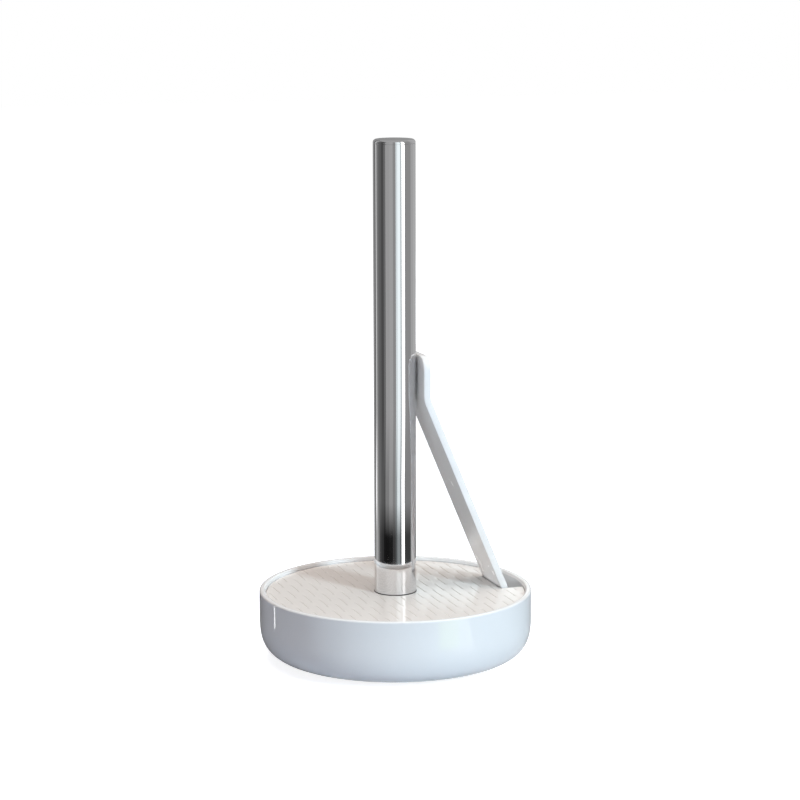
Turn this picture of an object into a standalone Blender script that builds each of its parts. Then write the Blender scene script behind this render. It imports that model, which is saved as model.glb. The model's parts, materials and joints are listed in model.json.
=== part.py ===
# Freestanding paper towel holder: a weighted round base, a chromed pole and a sprung arm
# that presses on the roll. Metres, +Z up. The origin is the centre of the base's footprint,
# and the arm stands on the +X side.

import math

import bmesh
import bpy
from mathutils import Matrix, Vector

# Driving sizes, overall
BASE_DIAMETER = 0.176
RIM_HEIGHT = 0.045
TOTAL_HEIGHT = 0.335
TUBE_DIAMETER = 0.027

# Fits that every piece shares
SEAT_GAP = 0.0003
RUNNING_GAP = 0.0003
CUT_OVERRUN = 0.002

# Base shell
RIM_THICKNESS = 0.0036
RIM_EDGE_ROUND = 0.0012
SHELL_WALL = 0.0032
SHELL_LIFT = 0.0015
SHELL_FLOOR = 0.0042
CORNER_WIDTH = 0.027
CORNER_HEIGHT = 0.026
CORNER_FULLNESS = 3
LEDGE_WIDTH = 0.003
LEDGE_THICKNESS = 0.003
SEAT_SLOPE_WIDTH = 0.0004
SEAT_SLOPE_DROP = 0.0006

# Top plate and its woven relief
PLATE_RECESS = 0.0024
PLATE_THICKNESS = 0.0024
PLATE_EDGE_ROUND = 0.0004
HUB_MARGIN = 0.0014
HUB_STEP = 0.0001
SKIRT_THICKNESS = 0.002
SKIRT_DEPTH = 0.0032
COLLAR_THICKNESS = 0.0025
COLLAR_DEPTH = 0.0045
STRAND_PITCH = 0.0064
STAKE_PITCH = 0.0142
WEAVE_SHIFT_X = 0.0012
WEAVE_SHIFT_Y = -0.001
STRAND_LENGTH = 0.0206
STRAND_RISE = 0.0005
STRAND_GROOVE = 0.0006
STRAND_ROOT = 0.0004
STRAND_SHORTEST = 0.003
WEAVE_MARGIN = 0.001
STRAND_END_SHARE = 0.3

# Bottom cover and pad
COVER_OVERLAP = 0.0043
COVER_FLANGE = 0.0018
COVER_THICKNESS = 0.0022
OPENING_INSET = 0.036
PAD_THICKNESS = 0.0022
PAD_MARGIN = 0.0017
PAD_CHAMFER = 0.0005

# Ballast
BALLAST_HEIGHT = 0.020
BALLAST_CLEARANCE = 0.001
BALLAST_CHAMFER = 0.0015
BALLAST_BOSS_RADIUS = 0.0139
BALLAST_BOSS_FILLET = 0.004

# Pole, its cap, plug and gasket
TUBE_WALL = 0.0012
CAP_RIM = 0.0026
CAP_EDGE_ROUND = 0.0022
CAP_SKIRT = 0.014
CAP_WALL = 0.0015
GASKET_PROUD = 0.0003
GASKET_THICKNESS = 0.0004
GASKET_BORE_RADIUS = 0.0093
GASKET_SINK = 0.0005
PLUG_HEIGHT = 0.027
PLUG_CHAMFER = 0.001
SPIGOT_RADIUS = 0.008

# Centre bolt and washer
BOLT_RADIUS = 0.004
BOLT_REACH = 0.058
BOLT_CHAMFER = 0.001
BOLT_HEAD_RADIUS = 0.0065
BOLT_HEAD_HEIGHT = 0.0052
BOLT_SOCKET_RADIUS = 0.0034
BOLT_SOCKET_DEPTH = 0.003
WASHER_RADIUS = 0.0088
WASHER_THICKNESS = 0.0012

# Cover screws
COVER_SCREW_COUNT = 3
COVER_SCREW_INSET = 0.012
COVER_SCREW_HEAD_RADIUS = 0.0036
COVER_SCREW_HEAD_HEIGHT = 0.0018
COVER_SCREW_RADIUS = 0.0016
COVER_SCREW_LENGTH = 0.0105
COVER_SCREW_SINK = 0.0001

# Tension arm
ARM_WIDTH = 0.0345
ARM_THICKNESS = 0.0046
ARM_FOOT_INSET = 0.021
ARM_BEND_HEIGHT = 0.1692
ARM_PADDLE_HEIGHT = 0.0284
ARM_BEND_RADIUS = 0.014
ARM_TOP_ROUND = 0.009
ARM_EDGE_ROUND = 0.0006
ARM_TUBE_GAP = 0.0003
ARM_SLOT_GAP = 0.0005

# Hinge
PIVOT_DEPTH = 0.0156
PIN_RADIUS = 0.002
PIN_HEAD_RADIUS = 0.0034
PIN_HEAD_THICKNESS = 0.0015
PIN_TIP = 0.002
CLIP_THICKNESS = 0.0008
CLIP_RADIUS = 0.0038
CLIP_GROOVE_DEPTH = 0.0005
BUSH_WALL = 0.0008
BUSH_FLANGE = 0.0008
BUSH_FLANGE_RADIUS = 0.0042
KNUCKLE_RADIUS = 0.0055
SPRING_POCKET_WIDTH = 0.0135
SPRING_POCKET_RADIUS = 0.0072
SPRING_WIRE = 0.0012
SPRING_TURNS = 4
SPRING_PITCH = 0.0021
SPRING_ARM_LEG = 0.0135
SPRING_WEB_LEG = 0.0120

# Hinge bracket
CHEEK_THICKNESS = 0.002
CHEEK_SKIRT_GAP = 0.0005
CHEEK_BOSS_RADIUS = 0.0053
WEB_THICKNESS = 0.002
WEB_FOOT_GAP = 0.0003
FLANGE_REACH = 0.0137
FLANGE_THICKNESS = 0.002
SCREW_BOSS_RADIUS = 0.0036
SCREW_BOSS_HEIGHT = 0.0067
SCREW_BOSS_INSET = 0.0058
SCREW_BOSS_SPACING = 0.020
SCREW_BOSS_SKIN = 0.0012
BRACKET_SCREW_RADIUS = 0.0013
BRACKET_SCREW_HEAD_RADIUS = 0.0027
BRACKET_SCREW_HEAD_HEIGHT = 0.0019
BRACKET_SCREW_HEAD_CHAMFER = 0.0007
BRACKET_SCREW_TIP_GAP = 0.0008

# How finely round forms are cut
SHELL_STEPS = 72
DISC_STEPS = 48
POLE_STEPS = 40
HIDDEN_STEPS = 28
SMALL_STEPS = 16
COIL_POINTS = 10
MERGE = 0.00001

# Levels and radii that follow from the sizes above
BASE_RADIUS = BASE_DIAMETER / 2
TUBE_RADIUS = TUBE_DIAMETER / 2
TUBE_BORE = TUBE_RADIUS - TUBE_WALL
PLATE_TOP = RIM_HEIGHT - PLATE_RECESS
PLATE_GROUND = PLATE_TOP - STRAND_RISE
PLATE_UNDER = PLATE_TOP - PLATE_THICKNESS
LEDGE_TOP = PLATE_UNDER - SEAT_GAP
SEAT_RADIUS = BASE_RADIUS - RIM_THICKNESS - SEAT_SLOPE_WIDTH
PLATE_RADIUS = SEAT_RADIUS - SEAT_GAP
LEDGE_RADIUS = SEAT_RADIUS - LEDGE_WIDTH
SKIRT_RADIUS = LEDGE_RADIUS - SEAT_GAP
HUB_TOP = PLATE_TOP + HUB_STEP
GASKET_RADIUS = TUBE_RADIUS + GASKET_PROUD
GASKET_SEAT = GASKET_RADIUS + SEAT_GAP
HUB_RADIUS = GASKET_SEAT + HUB_MARGIN
GASKET_BOTTOM = HUB_TOP - GASKET_SINK + SEAT_GAP
GASKET_TOP = GASKET_BOTTOM + GASKET_THICKNESS
TUBE_FOOT = GASKET_TOP + SEAT_GAP
CAP_SEAM = TOTAL_HEIGHT - CAP_RIM
TUBE_TOP = CAP_SEAM - SEAT_GAP
HUB_HOLE = SPIGOT_RADIUS + SEAT_GAP

PAD_TOP = PAD_THICKNESS
COVER_CEILING = PAD_TOP + SEAT_GAP
COVER_TOP = COVER_CEILING + COVER_THICKNESS
OPENING_RADIUS = BASE_RADIUS - OPENING_INSET
COVER_RADIUS = OPENING_RADIUS + COVER_OVERLAP - SEAT_GAP
COVER_SCREW_CIRCLE = OPENING_RADIUS - COVER_SCREW_INSET
PAD_RADIUS = OPENING_RADIUS - PAD_MARGIN
BALLAST_BOTTOM = COVER_TOP + SEAT_GAP
BALLAST_TOP = BALLAST_BOTTOM + BALLAST_HEIGHT
BALLAST_RADIUS = OPENING_RADIUS - BALLAST_CLEARANCE
BOSS_TOP = PLATE_UNDER - SEAT_GAP

HEAD_BOTTOM = BALLAST_BOTTOM + RUNNING_GAP
HEAD_TOP = HEAD_BOTTOM + BOLT_HEAD_HEIGHT
WASHER_BOTTOM = HEAD_TOP + SEAT_GAP
WASHER_TOP = WASHER_BOTTOM + WASHER_THICKNESS
COUNTERBORE_TOP = WASHER_TOP + SEAT_GAP

ARM_INNER_X = TUBE_RADIUS + ARM_TUBE_GAP
ARM_FOOT_X = BASE_RADIUS - ARM_FOOT_INSET
ARM_TOP_HEIGHT = ARM_BEND_HEIGHT + ARM_PADDLE_HEIGHT
ARM_LEAN = math.atan2(ARM_FOOT_X - ARM_INNER_X, ARM_BEND_HEIGHT - PLATE_TOP)
ARM_UP = Vector((-math.sin(ARM_LEAN), 0, math.cos(ARM_LEAN)))
FOOT_CENTRE_X = ARM_FOOT_X + ARM_THICKNESS / 2 / math.cos(ARM_LEAN)
PIVOT_X = FOOT_CENTRE_X + PIVOT_DEPTH * math.tan(ARM_LEAN)
PIVOT_Z = PLATE_TOP - PIVOT_DEPTH
PIVOT = Vector((PIVOT_X, 0, PIVOT_Z))

SLOT_INNER_X = ARM_FOOT_X - ARM_SLOT_GAP
SLOT_HALF_WIDTH = ARM_WIDTH / 2 + ARM_SLOT_GAP
CHEEK_INNER_Y = ARM_WIDTH / 2 + BUSH_FLANGE + 2 * RUNNING_GAP
CHEEK_OUTER_Y = CHEEK_INNER_Y + CHEEK_THICKNESS
BRACKET_TOP = PLATE_UNDER - SEAT_GAP
STOP_X = ARM_FOOT_X + (PLATE_TOP - BRACKET_TOP) * math.tan(ARM_LEAN) - SEAT_GAP / math.cos(ARM_LEAN)
WEB_INNER_X = STOP_X - WEB_THICKNESS
FLANGE_TOP = PLATE_UNDER - SCREW_BOSS_HEIGHT - SEAT_GAP
FLANGE_BOTTOM = FLANGE_TOP - FLANGE_THICKNESS
FLANGE_INNER_X = WEB_INNER_X - FLANGE_REACH
SCREW_BOSS_X = WEB_INNER_X - FLANGE_REACH + SCREW_BOSS_INSET
COIL_RADIUS = ARM_THICKNESS / 2 + SEAT_GAP + SPRING_WIRE / 2
WEB_BOTTOM = PIVOT_Z - COIL_RADIUS + SPRING_WIRE / 2 + WEB_FOOT_GAP
BUSH_BORE = PIN_RADIUS + RUNNING_GAP
BUSH_RADIUS = BUSH_BORE + BUSH_WALL
KNUCKLE_BORE = BUSH_RADIUS + SEAT_GAP


# Scene, collections and materials

def clear_scene():
    for obj in list(bpy.data.objects):
        bpy.data.objects.remove(obj, do_unlink=True)


def new_collection(name):
    collection = bpy.data.collections.new(name)
    bpy.context.scene.collection.children.link(collection)
    return collection


def material(name, colour, roughness, metallic=0.0):
    mat = bpy.data.materials.new(name)
    mat.use_nodes = True
    shader = mat.node_tree.nodes["Principled BSDF"]
    shader.inputs["Base Color"].default_value = (*colour, 1.0)
    shader.inputs["Roughness"].default_value = roughness
    shader.inputs["Metallic"].default_value = metallic
    return mat


clear_scene()
PARTS = new_collection("paper_towel_holder")
CUTTERS = new_collection("cutters")

GLOSS_WHITE = material("gloss_white", (0.86, 0.88, 0.90), 0.12)
PLATE_WHITE = material("plate_white", (0.82, 0.80, 0.78), 0.18)
ARM_WHITE = material("arm_white", (0.84, 0.85, 0.85), 0.30)
CHROME = material("chrome", (0.78, 0.78, 0.79), 0.05, 1.0)
STEEL = material("steel", (0.56, 0.57, 0.58), 0.32, 1.0)
ZINC = material("zinc", (0.62, 0.63, 0.62), 0.42, 1.0)
IRON = material("cast_iron", (0.12, 0.12, 0.12), 0.72, 0.6)
RUBBER = material("rubber", (0.05, 0.05, 0.05), 0.80)
BLACK_PLASTIC = material("black_plastic", (0.06, 0.06, 0.06), 0.50)
NATURAL_PLASTIC = material("natural_plastic", (0.80, 0.78, 0.70), 0.40)


# Objects from meshes, turned profiles and flat outlines

def add_object(name, mesh, mat=None, cutter=False):
    obj = bpy.data.objects.new(name, mesh)
    if cutter:
        CUTTERS.objects.link(obj)
        obj.hide_render = True
        obj.display_type = "WIRE"
    else:
        PARTS.objects.link(obj)
    if mat:
        obj.data.materials.append(mat)
    return obj


def smooth(mesh):
    mesh.shade_smooth()
    mesh.set_sharp_from_angle(angle=math.radians(35))


def arc(cx, cz, radius, start, end, steps):
    points = []
    for i in range(steps + 1):
        a = math.radians(start + (end - start) * i / steps)
        points.append((cx + radius * math.cos(a), cz + radius * math.sin(a)))
    return points


def turned(name, profile, mat, steps):
    """Turns a closed profile of (radius, height) points, given clockwise, about Z."""
    mesh = bpy.data.meshes.new(name)
    verts = [(x, 0, z) for x, z in profile]
    count = len(profile)
    open_at_axis = profile[0][0] == 0 and profile[-1][0] == 0
    last = count - 1 if open_at_axis else count
    mesh.from_pydata(verts, [(i, (i + 1) % count) for i in range(last)], [])
    obj = add_object(name, mesh, mat)
    screw = obj.modifiers.new("turn", "SCREW")
    screw.angle = math.tau
    screw.steps = steps
    screw.render_steps = steps
    screw.use_merge_vertices = True
    screw.merge_threshold = MERGE
    screw.use_smooth_shade = True
    return obj


def evaluated_mesh(obj):
    graph = bpy.context.evaluated_depsgraph_get()
    return bpy.data.meshes.new_from_object(obj.evaluated_get(graph))


def flat_outline(name, points, half_thickness, placing, mat=None, cutter=False):
    """Fills a closed outline, gives it a thickness either side and makes it a welded mesh."""
    curve = bpy.data.curves.new(name + "_outline", "CURVE")
    curve.dimensions = "2D"
    curve.fill_mode = "BOTH"
    curve.extrude = half_thickness
    spline = curve.splines.new("POLY")
    spline.points.add(len(points) - 1)
    for point, (x, y) in zip(spline.points, points):
        point.co = (x, y, 0, 1)
    spline.use_cyclic_u = True
    guide = bpy.data.objects.new(name + "_outline", curve)
    PARTS.objects.link(guide)
    bpy.context.view_layer.update()
    mesh = evaluated_mesh(guide)
    bpy.data.objects.remove(guide, do_unlink=True)
    mesh.name = name
    mesh.transform(placing)
    weld(mesh)
    return add_object(name, mesh, mat, cutter)


def weld(mesh):
    bm = bmesh.new()
    bm.from_mesh(mesh)
    bmesh.ops.remove_doubles(bm, verts=bm.verts, dist=MERGE)
    bmesh.ops.dissolve_limit(bm, angle_limit=math.radians(0.5), verts=bm.verts, edges=bm.edges)
    bmesh.ops.recalc_face_normals(bm, faces=bm.faces)
    bm.to_mesh(mesh)
    bm.free()


def box(name, low, high, cutter=True):
    bm = bmesh.new()
    bmesh.ops.create_cube(bm, size=1.0)
    size = Vector(high) - Vector(low)
    centre = (Vector(high) + Vector(low)) / 2
    bm.transform(Matrix.Translation(centre) @ Matrix.Diagonal((*size, 1)))
    mesh = bpy.data.meshes.new(name)
    bm.to_mesh(mesh)
    bm.free()
    return add_object(name, mesh, cutter=cutter)


def rod(name, start, end, radius, mat=None, steps=SMALL_STEPS, end_radius=None, cutter=True):
    """A cylinder or a cone between two points."""
    start = Vector(start)
    end = Vector(end)
    along = end - start
    bm = bmesh.new()
    bmesh.ops.create_cone(
        bm, cap_ends=True, segments=steps, radius1=radius,
        radius2=radius if end_radius is None else end_radius, depth=along.length,
    )
    turn = Vector((0, 0, 1)).rotation_difference(along).to_matrix().to_4x4()
    bm.transform(Matrix.Translation((start + end) / 2) @ turn)
    mesh = bpy.data.meshes.new(name)
    bm.to_mesh(mesh)
    bm.free()
    smooth(mesh)
    return add_object(name, mesh, mat, cutter)


def boolean(obj, other, operation):
    mod = obj.modifiers.new(other.name, "BOOLEAN")
    mod.operation = operation
    mod.solver = "EXACT"
    mod.object = other


def cut(obj, other):
    boolean(obj, other, "DIFFERENCE")


def join(obj, other):
    boolean(obj, other, "UNION")


def side_view():
    """Stands an outline drawn in X and Y up in X and Z."""
    return Matrix.Rotation(math.radians(90), 4, "X")


def front_view():
    """Stands an outline drawn in X and Y up in Y and Z."""
    return Matrix.Rotation(math.radians(90), 4, "Z") @ Matrix.Rotation(math.radians(90), 4, "X")


# Base shell

def corner_curve(width, height, top, steps):
    """The soft lower corner, a superellipse quarter from the wall down to the floor."""
    power = 2 / CORNER_FULLNESS
    foot = BASE_RADIUS - CORNER_WIDTH
    points = []
    for i in range(steps + 1):
        a = math.pi / 2 * i / steps
        points.append((foot + width * math.cos(a) ** power, top - height * math.sin(a) ** power))
    return points


def build_shell():
    edge = RIM_EDGE_ROUND
    edge_level = RIM_HEIGHT - edge
    corner_top = SHELL_LIFT + CORNER_HEIGHT
    floor_top = SHELL_LIFT + SHELL_FLOOR
    rebate = SHELL_LIFT + COVER_FLANGE + SEAT_GAP
    cover_seat = OPENING_RADIUS + COVER_OVERLAP
    seat_top = edge_level - SEAT_SLOPE_DROP
    ledge_under = LEDGE_TOP - LEDGE_THICKNESS
    wall_radius = BASE_RADIUS - SHELL_WALL
    profile = arc(BASE_RADIUS - RIM_THICKNESS + edge, edge_level, edge, 180, 90, 3)
    profile += arc(BASE_RADIUS - edge, edge_level, edge, 90, 0, 3)
    profile += corner_curve(CORNER_WIDTH, CORNER_HEIGHT, corner_top, 8)
    profile += [(cover_seat, SHELL_LIFT), (cover_seat, rebate)]
    profile += [(OPENING_RADIUS, rebate), (OPENING_RADIUS, floor_top)]
    inner = corner_curve(CORNER_WIDTH - SHELL_WALL, corner_top - floor_top, corner_top, 3)
    profile += reversed(inner)
    profile += [(wall_radius, ledge_under), (LEDGE_RADIUS, ledge_under)]
    profile += [(LEDGE_RADIUS, LEDGE_TOP), (SEAT_RADIUS, LEDGE_TOP), (SEAT_RADIUS, seat_top)]
    shell = turned("base_shell", profile, GLOSS_WHITE, SHELL_STEPS)
    slot_low = ledge_under - CUT_OVERRUN
    slot_top = LEDGE_TOP + SEAT_GAP
    slot = box(
        "ledge_slot",
        (SLOT_INNER_X, -CHEEK_INNER_Y, slot_low),
        (BASE_RADIUS, CHEEK_INNER_Y, slot_top),
    )
    slot_reach = SEAT_RADIUS + SEAT_GAP
    reach_low = (0, 0, slot_low - CUT_OVERRUN)
    reach_top = (0, 0, slot_top + CUT_OVERRUN)
    seat = rod("slot_reach", reach_low, reach_top, slot_reach, steps=SHELL_STEPS)
    boolean(slot, seat, "INTERSECT")
    cut(shell, slot)


# Top plate with its basket weave

def strand_pad(bm, x, low, high, middle):
    """One strand where it passes over a stake: an arched strip, cut to its own length."""
    steps = 4
    half = (STRAND_PITCH - STRAND_GROOVE) / 2
    strip = bmesh.ops.create_grid(bm, x_segments=1, y_segments=steps, size=1.0)["verts"]
    for vert in strip:
        y = low + (high - low) * (vert.co.y + 1) / 2
        swell = math.cos(math.pi * (y - middle) / STRAND_LENGTH)
        rise = STRAND_RISE * (STRAND_END_SHARE + (1 - STRAND_END_SHARE) * swell)
        vert.co = (x + half * vert.co.x, y, PLATE_GROUND + rise)
    faces = list({face for vert in strip for face in vert.link_faces})
    pushed = bmesh.ops.extrude_face_region(bm, geom=faces)["geom"]
    for vert in pushed:
        if isinstance(vert, bmesh.types.BMVert):
            vert.co.z = PLATE_GROUND - STRAND_ROOT


def weave_mesh():
    """Strands run along Y, a pitch apart, and every other one passes over the other stakes."""
    reach = PLATE_RADIUS - WEAVE_MARGIN
    half = (STRAND_PITCH - STRAND_GROOVE) / 2
    columns = int(reach / STRAND_PITCH)
    rows = int(reach / STAKE_PITCH) + 1
    bm = bmesh.new()
    for column in range(-columns, columns + 1):
        x = column * STRAND_PITCH + WEAVE_SHIFT_X
        outer = abs(x) + half
        if outer >= reach:
            continue
        chord = math.sqrt(reach ** 2 - outer ** 2)
        for row in range(-rows, rows + 1):
            if (row + column) % 2:
                continue
            middle = row * STAKE_PITCH + WEAVE_SHIFT_Y
            low = max(middle - STRAND_LENGTH / 2, -chord)
            high = min(middle + STRAND_LENGTH / 2, chord)
            if high - low > STRAND_SHORTEST:
                strand_pad(bm, x, low, high, middle)
    bmesh.ops.recalc_face_normals(bm, faces=bm.faces)
    mesh = bpy.data.meshes.new("weave")
    bm.to_mesh(mesh)
    bm.free()
    return mesh


def boss_places():
    for side in (-1, 1):
        yield side * SCREW_BOSS_SPACING / 2


def build_plate():
    edge = PLATE_EDGE_ROUND
    recess = HUB_TOP - GASKET_SINK
    collar_inner = BALLAST_BOSS_RADIUS + SEAT_GAP
    collar_outer = collar_inner + COLLAR_THICKNESS
    collar_foot = PLATE_UNDER - COLLAR_DEPTH
    skirt_inner = SKIRT_RADIUS - SKIRT_THICKNESS
    skirt_foot = PLATE_UNDER - SKIRT_DEPTH
    profile = [(HUB_HOLE, recess), (GASKET_SEAT, recess), (GASKET_SEAT, HUB_TOP)]
    profile += [(HUB_RADIUS, HUB_TOP), (HUB_RADIUS, PLATE_GROUND)]
    profile += arc(PLATE_RADIUS - edge, PLATE_GROUND - edge, edge, 90, 0, 1)
    profile += [(PLATE_RADIUS, PLATE_UNDER), (SKIRT_RADIUS, PLATE_UNDER)]
    profile += [(SKIRT_RADIUS, skirt_foot), (skirt_inner, skirt_foot), (skirt_inner, PLATE_UNDER)]
    profile += [(collar_outer, PLATE_UNDER), (collar_outer, collar_foot)]
    profile += [(collar_inner, collar_foot), (collar_inner, PLATE_UNDER), (HUB_HOLE, PLATE_UNDER)]
    plate = turned("top_plate", profile, PLATE_WHITE, DISC_STEPS)
    weave = add_object("weave", weave_mesh(), cutter=True)
    hub_middle = GASKET_SEAT + HUB_MARGIN / 2
    low = (0, 0, PLATE_UNDER - CUT_OVERRUN)
    high = (0, 0, HUB_TOP + CUT_OVERRUN)
    cut(weave, rod("weave_hub_cut", low, high, hub_middle, steps=DISC_STEPS))
    join(plate, weave)
    for index, y in enumerate(boss_places(), 1):
        foot = (SCREW_BOSS_X, y, PLATE_UNDER - SCREW_BOSS_HEIGHT)
        root = (SCREW_BOSS_X, y, PLATE_UNDER + SCREW_BOSS_SKIN / 2)
        join(plate, rod(f"screw_boss_{index}", foot, root, SCREW_BOSS_RADIUS))
    for index, y in enumerate(boss_places(), 1):
        mouth = (SCREW_BOSS_X, y, PLATE_UNDER - SCREW_BOSS_HEIGHT - CUT_OVERRUN)
        end = (SCREW_BOSS_X, y, PLATE_GROUND - SCREW_BOSS_SKIN)
        cut(plate, rod(f"boss_hole_{index}", mouth, end, BRACKET_SCREW_RADIUS + SEAT_GAP))
    notch = box(
        "plate_notch",
        (SLOT_INNER_X, -SLOT_HALF_WIDTH, skirt_foot - CUT_OVERRUN),
        (BASE_RADIUS, SLOT_HALF_WIDTH, PLATE_TOP + CUT_OVERRUN),
    )
    cut(plate, notch)


# Bottom cover, its screws and the pad

def cover_screw_places():
    for i in range(COVER_SCREW_COUNT):
        a = math.tau * (i + 0.5) / COVER_SCREW_COUNT
        yield COVER_SCREW_CIRCLE * math.cos(a), COVER_SCREW_CIRCLE * math.sin(a)


def build_cover():
    step = OPENING_RADIUS - SEAT_GAP
    pad_seat = PAD_RADIUS + SEAT_GAP
    flange_top = SHELL_LIFT + COVER_FLANGE
    profile = [(0, COVER_TOP), (step, COVER_TOP), (step, flange_top), (COVER_RADIUS, flange_top)]
    profile += [(COVER_RADIUS, SHELL_LIFT), (pad_seat, SHELL_LIFT), (pad_seat, COVER_CEILING)]
    profile += [(0, COVER_CEILING)]
    cover = turned("bottom_cover", profile, BLACK_PLASTIC, DISC_STEPS)
    for index, (x, y) in enumerate(cover_screw_places(), 1):
        hole = COVER_SCREW_RADIUS + SEAT_GAP
        sink = COVER_SCREW_HEAD_RADIUS + SEAT_GAP
        shoulder = COVER_CEILING + COVER_SCREW_HEAD_HEIGHT
        through = rod(
            f"cover_hole_{index}", (x, y, COVER_CEILING - CUT_OVERRUN),
            (x, y, COVER_TOP + CUT_OVERRUN), hole,
        )
        mouth = rod(
            f"cover_sink_{index}", (x, y, COVER_CEILING - SEAT_GAP), (x, y, shoulder),
            sink + SEAT_GAP * (sink - hole) / COVER_SCREW_HEAD_HEIGHT, end_radius=hole,
        )
        cut(cover, through)
        cut(cover, mouth)


def build_cover_screws():
    for index, (x, y) in enumerate(cover_screw_places(), 1):
        face = COVER_CEILING + COVER_SCREW_SINK
        neck = face + COVER_SCREW_HEAD_HEIGHT
        profile = [(0, face + COVER_SCREW_LENGTH)]
        profile += [(COVER_SCREW_RADIUS, face + COVER_SCREW_LENGTH), (COVER_SCREW_RADIUS, neck)]
        profile += [(COVER_SCREW_HEAD_RADIUS, face), (0, face)]
        screw = turned(f"cover_screw_{index}", profile, ZINC, SMALL_STEPS)
        screw.location = (x, y, 0)


def build_pad():
    edge = PAD_RADIUS - PAD_CHAMFER
    profile = [(0, PAD_TOP), (PAD_RADIUS, PAD_TOP), (PAD_RADIUS, PAD_CHAMFER), (edge, 0), (0, 0)]
    turned("base_pad", profile, RUBBER, DISC_STEPS)


# Ballast, bolt and washer

def build_ballast():
    chamfer = BALLAST_CHAMFER
    fillet = BALLAST_BOSS_FILLET
    bore = BOLT_RADIUS + SEAT_GAP
    pocket = WASHER_RADIUS + SEAT_GAP
    profile = [(bore, BOSS_TOP), (BALLAST_BOSS_RADIUS - chamfer, BOSS_TOP)]
    profile += [(BALLAST_BOSS_RADIUS, BOSS_TOP - chamfer)]
    profile += arc(BALLAST_BOSS_RADIUS + fillet, BALLAST_TOP + fillet, fillet, 180, 270, 4)
    profile += [(BALLAST_RADIUS - chamfer, BALLAST_TOP), (BALLAST_RADIUS, BALLAST_TOP - chamfer)]
    profile += [(BALLAST_RADIUS, BALLAST_BOTTOM + chamfer)]
    profile += [(BALLAST_RADIUS - chamfer, BALLAST_BOTTOM), (pocket, BALLAST_BOTTOM)]
    profile += [(pocket, COUNTERBORE_TOP), (bore, COUNTERBORE_TOP)]
    ballast = turned("ballast_weight", profile, IRON, HIDDEN_STEPS)
    for index, (x, y) in enumerate(cover_screw_places(), 1):
        end = COVER_CEILING + COVER_SCREW_LENGTH + CUT_OVERRUN
        tapped = rod(
            f"tapped_hole_{index}", (x, y, BALLAST_BOTTOM - CUT_OVERRUN), (x, y, end),
            COVER_SCREW_RADIUS + SEAT_GAP,
        )
        cut(ballast, tapped)


def build_bolt():
    end = COUNTERBORE_TOP + BOLT_REACH
    profile = [(0, end), (BOLT_RADIUS - BOLT_CHAMFER, end), (BOLT_RADIUS, end - BOLT_CHAMFER)]
    profile += [(BOLT_RADIUS, HEAD_TOP), (BOLT_HEAD_RADIUS, HEAD_TOP)]
    profile += [(BOLT_HEAD_RADIUS, HEAD_BOTTOM), (0, HEAD_BOTTOM)]
    bolt = turned("center_bolt", profile, ZINC, SMALL_STEPS)
    socket = rod(
        "bolt_socket", (0, 0, HEAD_BOTTOM - CUT_OVERRUN), (0, 0, HEAD_BOTTOM + BOLT_SOCKET_DEPTH),
        BOLT_SOCKET_RADIUS, steps=6,
    )
    cut(bolt, socket)
    bore = BOLT_RADIUS + SEAT_GAP
    ring = [(bore, WASHER_TOP), (WASHER_RADIUS, WASHER_TOP)]
    ring += [(WASHER_RADIUS, WASHER_BOTTOM), (bore, WASHER_BOTTOM)]
    turned("bolt_washer", ring, ZINC, SMALL_STEPS)


# Pole, cap, plug and gasket

def build_pole():
    wall = [(TUBE_BORE, TUBE_TOP), (TUBE_RADIUS, TUBE_TOP)]
    wall += [(TUBE_RADIUS, TUBE_FOOT), (TUBE_BORE, TUBE_FOOT)]
    turned("tube", wall, CHROME, POLE_STEPS)

    edge = CAP_EDGE_ROUND
    skirt = TUBE_BORE - SEAT_GAP
    skirt_foot = CAP_SEAM - CAP_SKIRT
    crown = [(0, TOTAL_HEIGHT)]
    crown += arc(TUBE_RADIUS - edge, TOTAL_HEIGHT - edge, edge, 90, 0, 5)
    crown += [(TUBE_RADIUS, CAP_SEAM), (skirt, CAP_SEAM), (skirt, skirt_foot)]
    crown += [(skirt - CAP_WALL, skirt_foot), (skirt - CAP_WALL, TOTAL_HEIGHT - CAP_RIM)]
    crown += [(0, TOTAL_HEIGHT - CAP_RIM)]
    turned("tube_cap", crown, CHROME, POLE_STEPS)

    ring = [(GASKET_BORE_RADIUS, GASKET_TOP), (GASKET_RADIUS, GASKET_TOP)]
    ring += [(GASKET_RADIUS, GASKET_BOTTOM), (GASKET_BORE_RADIUS, GASKET_BOTTOM)]
    turned("tube_gasket", ring, RUBBER, POLE_STEPS)

    body = TUBE_BORE - SEAT_GAP
    plug_top = TUBE_FOOT + PLUG_HEIGHT
    tapped = BOLT_RADIUS + SEAT_GAP
    shoulder = GASKET_TOP + SEAT_GAP
    plug = [(tapped, plug_top), (body - PLUG_CHAMFER, plug_top), (body, plug_top - PLUG_CHAMFER)]
    plug += [(body, shoulder), (SPIGOT_RADIUS, shoulder), (SPIGOT_RADIUS, PLATE_UNDER)]
    plug += [(tapped, PLATE_UNDER)]
    turned("tube_plug", plug, STEEL, HIDDEN_STEPS)


# Tension arm

def ribbon(path, half_thickness):
    """The closed outline of a strip that follows a path with an even thickness."""
    left = []
    right = []
    for i, point in enumerate(path):
        before = path[max(i - 1, 0)]
        after = path[min(i + 1, len(path) - 1)]
        along = (after - before).normalized()
        across = Vector((-along.y, along.x)) * half_thickness
        left.append(point + across)
        right.append(point - across)
    return [tuple(p) for p in left + right[::-1]]


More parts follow.
